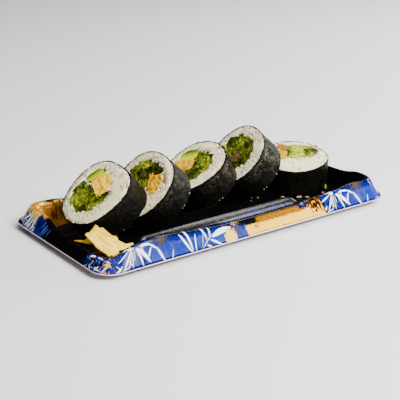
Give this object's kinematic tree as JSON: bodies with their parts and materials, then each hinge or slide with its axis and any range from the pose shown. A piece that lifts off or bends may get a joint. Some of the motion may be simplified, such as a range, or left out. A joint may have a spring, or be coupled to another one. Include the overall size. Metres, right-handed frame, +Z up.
{
  "type": "futomaki on a tray",
  "caption": "Thick sliced rice rolls in seaweed with a green and golden filling, on a long takeaway tray with a waved printed rim and pickled ginger.",
  "frame": {"origin": "under the middle of the tray, on the surface that it stands on", "axes": "+X along the tray's length, +Y across it to the back, +Z up; the cut faces look towards -X"},
  "size_m": [0.24, 0.115, 0.0508],
  "materials": {
    "tray": "thermoformed foam sheet under a glossy printed film",
    "nori": "dry seaweed sheet with a dull sheen",
    "rice": "moist cooked grains",
    "lettuce": "moist leaf",
    "chicken": "fibrous golden filling",
    "avocado": "smooth flesh",
    "omelette": "soft cooked egg",
    "ginger": "wet pickled slices"
  },
  "bodies": {
    "root": {"tray": "tray", "nori_1": "nori", "nori_2": "nori", "nori_3": "nori", "nori_4": "nori", "nori_5": "nori", "rice_1": "rice", "rice_2": "rice", "rice_3": "rice", "rice_4": "rice", "rice_5": "rice", "lettuce_1": "lettuce", "lettuce_2": "lettuce", "lettuce_3": "lettuce", "lettuce_4": "lettuce", "lettuce_5": "lettuce", "chicken_1": "chicken", "chicken_2": "chicken", "chicken_3": "chicken", "chicken_4": "chicken", "chicken_5": "chicken", "avocado_1": "avocado", "avocado_3": "avocado", "omelette_5": "omelette", "ginger_1": "ginger", "ginger_2": "ginger", "ginger_3": "ginger", "ginger_4": "ginger"}
  },
  "joints": []
}
